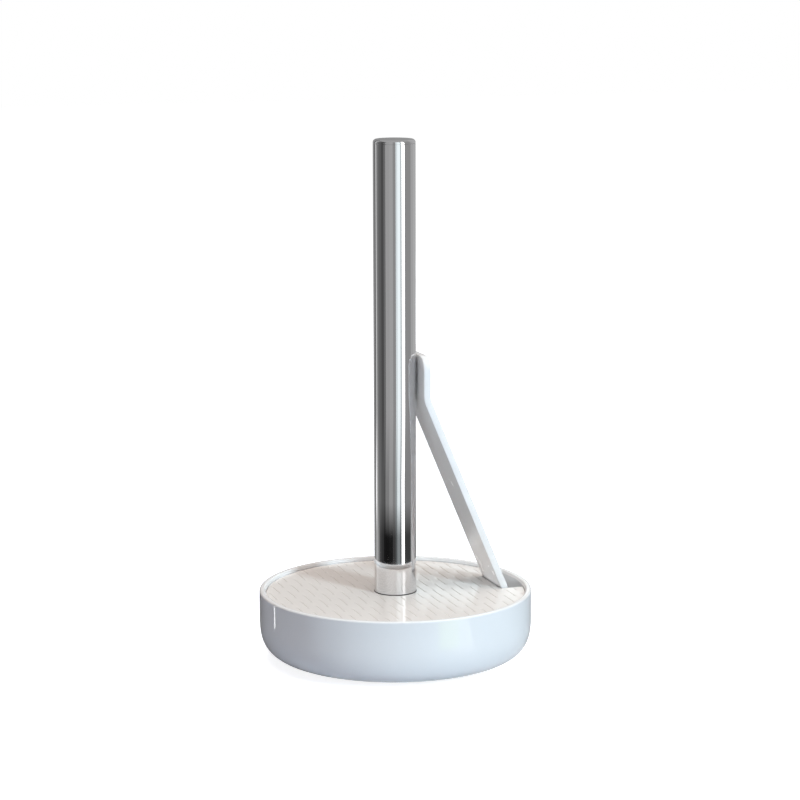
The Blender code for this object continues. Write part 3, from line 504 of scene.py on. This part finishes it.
NORMALS = normals_group()


def weight_normals(obj):
    """Keeps the large faces flat and lets the eased edges turn between them."""
    weights = obj.modifiers.new("weighted_normals", "WEIGHTED_NORMAL")
    weights.keep_sharp = True


def finish_node(node, material, edge=0):
    node.data.materials.clear()
    node.data.materials.append(material)
    weld = node.modifiers.new("weld", "WELD")
    weld.merge_threshold = WELD_DISTANCE
    if edge:
        ease = node.modifiers.new("eased_edges", "BEVEL")
        ease.width = edge
        ease.segments = FINE_EDGE_STEPS
        ease.limit_method = "ANGLE"
        ease.angle_limit = math.radians(SMOOTH_ANGLE)
    smooth = node.modifiers.new("smooth", "NODES")
    smooth.node_group = NORMALS
    weight_normals(node)


def finish_nodes():
    slots = {row["node"]: row["material_slot"] for row in frame["record"]["subparts"]}
    for name, node in NODES.items():
        finish_node(node, MATERIALS[slots[name]], FINE_EDGE if name in EASED_NODES else 0)


# Mesh helpers

def new_piece(name, bm, material, body="base"):
    mesh = bpy.data.meshes.new(name)
    bm.to_mesh(mesh)
    bm.free()
    mesh.shade_smooth()
    mesh.set_sharp_from_angle(angle=math.radians(SMOOTH_ANGLE))
    mesh.materials.append(MATERIALS[material])
    obj = bpy.data.objects.new(name, mesh)
    bpy.context.scene.collection.objects.link(obj)
    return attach(obj, body)


def turned(profile, steps=TURN_STEPS):
    """A closed profile of (radius, height) points turned about the pole's axis."""
    bm = bmesh.new()
    rings = []
    for i in range(steps):
        a = math.tau * i / steps
        rings.append([bm.verts.new((r * math.cos(a), r * math.sin(a), z)) for r, z in profile])
    open_at_axis = profile[0][0] == 0 and profile[-1][0] == 0
    last = len(profile) - 1 if open_at_axis else len(profile)
    for ring, following in zip(rings, rings[1:] + rings[:1]):
        for k in range(last):
            j = (k + 1) % len(profile)
            bm.faces.new((ring[k], following[k], following[j], ring[j]))
    bmesh.ops.remove_doubles(bm, verts=bm.verts, dist=AXIS_WELD)
    bmesh.ops.recalc_face_normals(bm, faces=bm.faces)
    return bm


def arc(cx, cz, radius, start, end, steps):
    """Points along an arc from one direction to another, both in degrees."""
    points = []
    for i in range(steps + 1):
        a = math.radians(start + (end - start) * i / steps)
        points.append((cx + radius * math.cos(a), cz + radius * math.sin(a)))
    return points


def slot_outline(half, reach):
    """The slot seen from above, from its straight inner side out to a round one."""
    turn = math.degrees(math.asin(half / reach))
    return [(SLOT_INNER_X, half), (SLOT_INNER_X, -half), *arc(0, 0, reach, -turn, turn, SLOT_STEPS)]


def cut_slot(obj, half, reach, bottom, top):
    """Cuts a slot for the arm out of a piece and keeps the result as its mesh."""
    bm = bmesh.new()
    floor = bm.faces.new([bm.verts.new((x, y, bottom)) for x, y in slot_outline(half, reach)])
    pushed = bmesh.ops.extrude_face_region(bm, geom=[floor])["geom"]
    raised = [item for item in pushed if isinstance(item, bmesh.types.BMVert)]
    bmesh.ops.translate(bm, vec=(0, 0, top - bottom), verts=raised)
    bmesh.ops.recalc_face_normals(bm, faces=bm.faces)
    mesh = bpy.data.meshes.new("cutter")
    bm.to_mesh(mesh)
    bm.free()
    cutter = bpy.data.objects.new("cutter", mesh)
    bpy.context.scene.collection.objects.link(cutter)
    mod = obj.modifiers.new("cut", "BOOLEAN")
    mod.operation = "DIFFERENCE"
    mod.solver = "EXACT"
    mod.object = cutter
    bpy.context.view_layer.update()
    graph = bpy.context.evaluated_depsgraph_get()
    result = bpy.data.meshes.new_from_object(obj.evaluated_get(graph))
    obj.modifiers.clear()
    obj.data = result
    bpy.data.objects.remove(cutter, do_unlink=True)
    result.set_sharp_from_angle(angle=math.radians(SMOOTH_ANGLE))


# Base shell

def corner_curve(width, height, top, steps):
    """The soft lower corner, a superellipse quarter from the wall down to the floor."""
    power = 2 / CORNER_FULLNESS
    foot = BASE_RADIUS - CORNER_WIDTH
    points = []
    for i in range(steps + 1):
        a = math.pi / 2 * i / steps
        points.append((foot + width * math.cos(a) ** power, top - height * math.sin(a) ** power))
    return points


def build_shell():
    edge = RIM_EDGE_ROUND
    edge_level = RIM_TOP - edge
    corner_top = SHELL_LIFT + CORNER_HEIGHT
    floor_top = SHELL_LIFT + SHELL_FLOOR
    rebate = SHELL_LIFT + COVER_FLANGE
    opening = BASE_RADIUS - OPENING_INSET
    cover_seat = opening + COVER_OVERLAP
    seat_top = edge_level - SEAT_SLOPE_DROP
    seat_radius = PLATE_RADIUS + SEAT_GAP
    ledge_radius = seat_radius - LEDGE_WIDTH
    ledge_top = PLATE_UNDER - SEAT_GAP
    ledge_under = ledge_top - LEDGE_THICKNESS
    rim_inner = BASE_RADIUS - RIM_THICKNESS + edge
    profile = arc(rim_inner, edge_level, edge, INWARD, UPWARD, RIM_STEPS)
    profile += arc(BASE_RADIUS - edge, edge_level, edge, UPWARD, OUTWARD, RIM_STEPS)
    profile += corner_curve(CORNER_WIDTH, CORNER_HEIGHT, corner_top, CORNER_STEPS)
    profile += [(cover_seat, SHELL_LIFT), (cover_seat, rebate)]
    profile += [(opening, rebate), (opening, floor_top)]
    inner_width = CORNER_WIDTH - SHELL_WALL
    inner_height = corner_top - floor_top
    inner = corner_curve(inner_width, inner_height, corner_top, INNER_CORNER_STEPS)
    profile += reversed(inner)
    profile += [(BASE_RADIUS - SHELL_WALL, ledge_under), (ledge_radius, ledge_under)]
    profile += [(ledge_radius, ledge_top), (seat_radius, ledge_top), (seat_radius, seat_top)]
    shell = new_piece("shell_body", turned(profile), "gloss_white")
    slot_floor = ledge_under - SEAT_GAP
    cut_slot(shell, CHEEK_INNER_Y, seat_radius + SEAT_GAP, slot_floor, PLATE_UNDER)
    weight_normals(shell)
    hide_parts("base_shell")


# Pole and its cap

def build_pole():
    foot = low("tube").z
    top = high("tube").z
    outer = high("tube").x
    bore = outer - TUBE_WALL
    wall = [(bore, top), (outer, top), (outer, foot), (bore, foot)]
    tube = new_piece("pole_tube", turned(wall, POLE_STEPS), "chrome")
    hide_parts("tube")

    crown_top = high("tube_cap").z
    seam = crown_top - CAP_RIM
    skirt = bore - SEAT_GAP
    skirt_foot = low("tube_cap").z
    edge = CAP_EDGE_ROUND
    crown = [(0, crown_top)]
    crown += arc(outer - edge, crown_top - edge, edge, UPWARD, OUTWARD, CROWN_STEPS)
    crown += [(outer, seam), (skirt, seam), (skirt, skirt_foot)]
    crown += [(skirt - CAP_WALL, skirt_foot), (skirt - CAP_WALL, seam), (0, seam)]
    cap = new_piece("pole_cap", turned(crown, POLE_STEPS), "chrome")
    weight_normals(cap)
    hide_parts("tube_cap")


# Woven top plate

def cut_notch(obj):
    """Opens the slot that the arm comes up through."""
    half = ARM_WIDTH / 2 + ARM_SLOT_GAP
    cut_slot(obj, half, BASE_RADIUS, PLATE_UNDER - 2 * SKIRT_DEPTH, RIM_TOP)


def strand_height(column, y):
    """The middle of a strand's top as it goes over and under the stakes."""
    wave = math.cos(math.pi * (y / STAKE_PITCH + column))
    return PLATE_TOP - STRAND_SWAY * (1 - wave) / 2


def groove_share(boundary, y):
    """How open the groove beside a strand is: 1 along the strand, 0 between two strands."""
    period = 2 * STAKE_PITCH
    along = (y - boundary * STAKE_PITCH + STAKE_PITCH) % period - STAKE_PITCH
    return max(0, min(1, (STRAND_LENGTH / 2 - abs(along)) / GROOVE_FADE))


def weave_stations(reach):
    """Stations across the plate: (x, strand, share of the strand's half width)."""
    shoulder = 1 - GROOVE_WIDTH / STRAND_PITCH
    columns = int(reach / STRAND_PITCH) + 1
    stations = []
    for column in range(-columns, columns + 1):
        for share in (-shoulder, -0.5, 0.0, 0.5, shoulder, 1.0):
            x = WEAVE_SHIFT[0] + (column + share / 2) * STRAND_PITCH
            if abs(x) < reach:
                stations.append((x, column, share))
    return stations


def weave_surface():
    """The woven relief as one height field, clipped to the plate's round outline."""
    reach = PLATE_RADIUS - WEAVE_MARGIN
    step = STAKE_PITCH / WEAVE_ROWS_PER_STAKE
    rows = int(reach / step) + 2
    bm = bmesh.new()
    # Each point keeps its groove share, which also darkens the plate's colour there as painted
    # shade
    depth = bm.verts.layers.float.new("groove")
    grid = []
    for x, column, share in weave_stations(reach):
        chord = math.sqrt(reach ** 2 - x ** 2)
        line = []
        for row in range(-rows, rows + 1):
            y = max(-chord, min(chord, row * step))
            along = y - WEAVE_SHIFT[1]
            z = strand_height(column, along) - STRAND_CROWN * share ** 2
            groove = groove_share(column, along) if share == 1 else 0
            vert = bm.verts.new((x, y, z - GROOVE_DEPTH * groove))
            vert[depth] = groove
            line.append(vert)
        grid.append(line)
    for line, following in zip(grid, grid[1:]):
        for k in range(len(line) - 1):
            bm.faces.new((line[k], following[k], following[k + 1], line[k + 1]))
    bmesh.ops.remove_doubles(bm, verts=bm.verts, dist=WELD_DISTANCE)
    rim = [edge for edge in bm.edges if edge.is_boundary]
    pushed = bmesh.ops.extrude_edge_only(bm, edges=rim)["geom"]
    for item in pushed:
        if isinstance(item, bmesh.types.BMVert):
            item.co.z = PLATE_GROUND - STRAND_RISE
    bmesh.ops.holes_fill(bm, edges=[edge for edge in bm.edges if edge.is_boundary])
    bmesh.ops.recalc_face_normals(bm, faces=bm.faces)
    return bm


def plate_body():
    """The plate under the relief, with its hub ring and the skirt that centres it."""
    ground = PLATE_GROUND
    outer = PLATE_RADIUS + SEAT_GAP / 2
    skirt_inner = SKIRT_RADIUS - SKIRT_THICKNESS
    skirt_foot = PLATE_UNDER - SKIRT_DEPTH
    profile = [(HUB_BORE, GASKET_FLOOR), (GASKET_SEAT, GASKET_FLOOR), (GASKET_SEAT, HUB_TOP)]
    profile += [(HUB_RADIUS, HUB_TOP), (HUB_RADIUS, ground)]
    edge = EDGE_ROUND
    profile += arc(outer - edge, ground - edge, edge, UPWARD, OUTWARD, PLATE_EDGE_STEPS)
    profile += [(outer, PLATE_UNDER), (SKIRT_RADIUS, PLATE_UNDER)]
    profile += [(SKIRT_RADIUS, skirt_foot), (skirt_inner, skirt_foot), (skirt_inner, PLATE_UNDER)]
    collar_outer = COLLAR_BORE + COLLAR_THICKNESS
    collar_foot = PLATE_UNDER - COLLAR_DEPTH
    profile += [(collar_outer, PLATE_UNDER), (collar_outer, collar_foot)]
    profile += [(COLLAR_BORE, collar_foot), (COLLAR_BORE, PLATE_UNDER), (HUB_BORE, PLATE_UNDER)]
    return turned(profile)


def screw_bosses():
    """The two bosses under the plate that take the bracket's screws."""
    bm = bmesh.new()
    for node in ("bracket_screw_1", "bracket_screw_2"):
        centre = (low(node) + high(node)) / 2
        centre.z = PLATE_UNDER - SCREW_BOSS_HEIGHT / 2
        bmesh.ops.create_cone(
            bm, cap_ends=True, segments=SMALL_STEPS, radius1=SCREW_BOSS_RADIUS,
            radius2=SCREW_BOSS_RADIUS, depth=SCREW_BOSS_HEIGHT,
            matrix=Matrix.Translation(centre),
        )
    return bm


def build_woven_plate():
    body = new_piece("plate_body", plate_body(), "plate_white")
    cut_notch(body)
    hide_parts("top_plate")
    relief = new_piece("woven_relief", weave_surface(), "plate_white")
    cut_notch(relief)
    new_piece("plate_screw_bosses", screw_bosses(), "plate_white")


# Camera

def camera_place():
    place = rightward() * CAMERA_SIDE - away() * CAMERA_DISTANCE
    place.z = CAMERA_HEIGHT
    return place


def build_camera():
    data = bpy.data.cameras.new("camera")
    data.lens = CAMERA_LENS
    data.sensor_width = SENSOR_WIDTH
    camera = bpy.data.objects.new("camera", data)
    turn = Matrix.Rotation(math.radians(CAMERA_AZIMUTH), 4, "Z")
    pitch = Matrix.Rotation(math.radians(90 - CAMERA_PITCH), 4, "X")
    roll = Matrix.Rotation(math.radians(-CAMERA_ROLL), 4, "Z")
    camera.matrix_world = Matrix.Translation(camera_place()) @ turn @ pitch @ roll
    bpy.context.scene.collection.objects.link(camera)
    bpy.context.scene.camera = camera


# Studio: surround cards, floor, lamps and world

def bare_material(name):
    mat = bpy.data.materials.new(name)
    mat.use_nodes = True
    mat.node_tree.nodes.clear()
    return mat, mat.node_tree


def glow_material(name, tint):
    mat, tree = bare_material(name)
    level = tree.nodes.new("ShaderNodeAttribute")
    level.attribute_name = "level"
    glow = tree.nodes.new("ShaderNodeEmission")
    glow.inputs["Color"].default_value = (*tint, 1)
    out = tree.nodes.new("ShaderNodeOutputMaterial")
    tree.links.new(level.outputs["Fac"], glow.inputs["Strength"])
    tree.links.new(glow.outputs["Emission"], out.inputs["Surface"])
    return mat


def add_glow(name, verts, faces, levels, material):
    """A glowing face set that only reflections show."""
    mesh = bpy.data.meshes.new(name)
    mesh.from_pydata(verts, [], faces)
    mesh.attributes.new("level", "FLOAT", "POINT").data.foreach_set("value", levels)
    mesh.materials.append(material)
    glow = bpy.data.objects.new(name, mesh)
    glow.visible_camera = False
    glow.visible_diffuse = False
    glow.visible_shadow = False
    bpy.context.scene.collection.objects.link(glow)


def stations(start, end):
    """Directions from one to another, in even steps."""
    steps = max(1, round((end - start) / SURROUND_STEP))
    return [start + (end - start) * i / steps for i in range(steps + 1)]


def strip_faces(lines, count):
    """Faces between each line of points and the next one."""
    faces = []
    for i in range(lines - 1):
        for k in range(count - 1):
            a = i * count + k
            faces.append((a, a + 1, a + count + 1, a + count))
    return faces


def build_card(name, start, end, upper, foot, table, near, material):
    """A sweep that lies on the table around the object, bends up and stands behind it."""
    inner, start_near, end_near = TABLE_NEAR
    first, last, bend = TABLE_FAR
    inner_level = min(near, TABLE_INNER_LEVEL)
    section = [
        (TABLE_INNER, TABLE_LIFT, inner_level), (inner, TABLE_LIFT, inner_level),
        (start_near, TABLE_LIFT, near), (end_near, TABLE_LIFT, near),
        (first, TABLE_LIFT, table), (last, TABLE_LIFT, table),
        (bend, TABLE_LIFT, foot), (SURROUND_RADIUS, TABLE_LIFT, foot),
        (SURROUND_RADIUS, SURROUND_FOOT, upper), (SURROUND_RADIUS, SURROUND_HEIGHT, upper),
    ]
    azimuths = stations(start, end)
    verts = []
    for azimuth in azimuths:
        for radius, height, level in section:
            turn = TABLE_TURN if height == TABLE_LIFT else 0
            verts.append(toward(azimuth + turn) * radius + Vector((0, 0, height)))
    levels = [level for radius, height, level in section] * len(azimuths)
    faces = strip_faces(len(azimuths), len(section))
    add_glow("card_" + name, verts, faces, levels, material)


def mirrored_place(azimuth, height):
    """Where the camera's line of sight meets the table after the shell's wall mirrors it."""
    normal = toward(azimuth)
    place = normal * BASE_RADIUS + Vector((0, 0, height))
    sight = (place - camera_place()).reflect(normal)
    return place + sight * ((2 * TABLE_LIFT - height) / sight.z)


def build_patch(name, start, end, lower, upper, level, material):
    """A lit patch of the table, which shows only as a glint on the shell."""
    azimuths = stations(start, end)
    verts = [mirrored_place(azimuth, height) for azimuth in azimuths for height in (lower, upper)]
    faces = strip_faces(len(azimuths), 2)
    add_glow("patch_" + name, verts, faces, [level] * len(verts), material)


def build_panel(name, start, end, rows, material):
    """An upright panel just inside the surround, which shows only in reflections."""
    azimuths = stations(start, end)
    verts = []
    for azimuth in azimuths:
        place = toward(azimuth) * PANEL_RADIUS
        verts += [place + Vector((0, 0, height)) for height, level in rows]
    levels = [level for height, level in rows] * len(azimuths)
    faces = strip_faces(len(azimuths), len(rows))
    add_glow("panel_" + name, verts, faces, levels, material)


def square(half, z):
    return [(-half, -half, z), (half, -half, z), (half, half, z), (-half, half, z)]


def build_ceiling(material):
    """A dim ceiling over the surround, which the pole's cap and the lip mirror."""
    verts = square(SURROUND_RADIUS, SURROUND_HEIGHT)
    add_glow("ceiling", verts, [(0, 1, 2, 3)], [CEILING_LEVEL] * len(verts), material)


def build_surround():
    glows = {tint: glow_material("glow_" + tint, colour) for tint, colour in TINTS.items()}
    build_ceiling(glows["neutral"])
    for name, (start, end, lower, upper, level, tint) in PATCHES.items():
        build_patch(name, start, end, lower, upper, level, glows[tint])
    for name, (start, end, rows, tint) in PANELS.items():
        build_panel(name, start, end, rows, glows[tint])
    for name, (start, end, upper, foot, table, near, tint) in CARDS.items():
        build_card(name, start, end, upper, foot, table, near, glows[tint])


def seen_directly(tree):
    """1 for rays that show the background itself: from the camera, off metal or through glass."""
    path = tree.nodes.new("ShaderNodeLightPath")
    total = path.outputs["Is Camera Ray"]
    for name in ("Is Glossy Ray", "Is Transmission Ray"):
        add = tree.nodes.new("ShaderNodeMath")
        add.operation = "MAXIMUM"
        tree.links.new(total, add.inputs[0])
        tree.links.new(path.outputs[name], add.inputs[1])
        total = add.outputs["Value"]
    return total


def floor_shadow_zone(tree):
    """0 near the object, where the floor shows its shadow, up to 1 further out."""
    coords = tree.nodes.new("ShaderNodeTexCoord")
    length = tree.nodes.new("ShaderNodeVectorMath")
    length.operation = "LENGTH"
    fade = tree.nodes.new("ShaderNodeMapRange")
    fade.interpolation_type = "SMOOTHSTEP"
    fade.inputs["From Min"].default_value = FLOOR_WHITE_FROM
    fade.inputs["From Max"].default_value = FLOOR_WHITE_TO
    tree.links.new(coords.outputs["Object"], length.inputs[0])
    tree.links.new(length.outputs["Value"], fade.inputs["Value"])
    return fade.outputs["Result"]


def build_floor():
    """A pale floor that shows white and keeps the object's shadow."""
    mesh = bpy.data.meshes.new("floor")
    mesh.from_pydata(square(FLOOR_SIZE / 2, -FLOOR_DROP), [], [(0, 1, 2, 3)])
    mat, tree = bare_material("floor")
    diffuse = tree.nodes.new("ShaderNodeBsdfDiffuse")
    diffuse.inputs["Color"].default_value = (*FLOOR_COLOUR, 1)
    level = tree.nodes.new("ShaderNodeMapRange")
    level.inputs["To Min"].default_value = FLOOR_LIFT
    level.inputs["To Max"].default_value = 1
    shown = tree.nodes.new("ShaderNodeMath")
    shown.operation = "MULTIPLY"
    glow = tree.nodes.new("ShaderNodeEmission")
    both = tree.nodes.new("ShaderNodeAddShader")
    out = tree.nodes.new("ShaderNodeOutputMaterial")
    tree.links.new(floor_shadow_zone(tree), level.inputs["Value"])
    tree.links.new(level.outputs["Result"], shown.inputs[0])
    tree.links.new(seen_directly(tree), shown.inputs[1])
    tree.links.new(shown.outputs["Value"], glow.inputs["Strength"])
    tree.links.new(diffuse.outputs["BSDF"], both.inputs[0])
    tree.links.new(glow.outputs["Emission"], both.inputs[1])
    tree.links.new(both.outputs["Shader"], out.inputs["Surface"])
    mesh.materials.append(mat)
    floor = bpy.data.objects.new("floor", mesh)
    bpy.context.scene.collection.objects.link(floor)


def build_world():
    world = bpy.data.worlds.new("studio")
    bpy.context.scene.world = world
    world.use_nodes = True
    tree = world.node_tree
    tree.nodes.clear()
    ambient = tree.nodes.new("ShaderNodeBackground")
    ambient.inputs["Color"].default_value = (*AMBIENT_COLOUR, 1)
    ambient.inputs["Strength"].default_value = AMBIENT
    white = tree.nodes.new("ShaderNodeBackground")
    white.inputs["Color"].default_value = (1, 1, 1, 1)
    mix = tree.nodes.new("ShaderNodeMixShader")
    out = tree.nodes.new("ShaderNodeOutputWorld")
    tree.links.new(seen_directly(tree), mix.inputs["Fac"])
    tree.links.new(ambient.outputs["Background"], mix.inputs[1])
    tree.links.new(white.outputs["Background"], mix.inputs[2])
    tree.links.new(mix.outputs["Shader"], out.inputs["Surface"])


def add_lamp(name, width, height, power, colour, place, turn):
    """An area lamp that neither the camera nor reflections see."""
    data = bpy.data.lights.new(name, "AREA")
    data.shape = "RECTANGLE"
    data.size = width
    data.size_y = height
    data.energy = power
    data.color = colour
    lamp = bpy.data.objects.new(name, data)
    lamp.location = place
    lamp.rotation_euler = turn
    lamp.visible_camera = False
    lamp.visible_glossy = False
    bpy.context.scene.collection.objects.link(lamp)


def build_lamps():
    for name, (azimuth, elevation, distance, width, height, power, colour) in LAMPS.items():
        direction = toward(azimuth, elevation)
        place = OBJECT_MIDDLE + direction * distance
        turn = direction.to_track_quat("Z", "Y").to_euler()
        add_lamp(name, width, height, power, colour, place, turn)


def build_plate_glow():
    """Light that the pale plate throws up on the arm's foot above it."""
    size = PLATE_GLOW_SIZE
    place = (PLATE_GLOW_PLACE, 0, PLATE_TOP + PLATE_GLOW_LIFT)
    add_lamp("plate_glow", size, size, PLATE_GLOW_POWER, (1, 1, 1), place, (math.pi, 0, 0))


# Assembly

build_camera()
finish_nodes()
build_shell()
build_pole()
build_woven_plate()
build_surround()
build_floor()
build_world()
build_lamps()
build_plate_glow()
bpy.context.scene.view_settings.view_transform = "Standard"
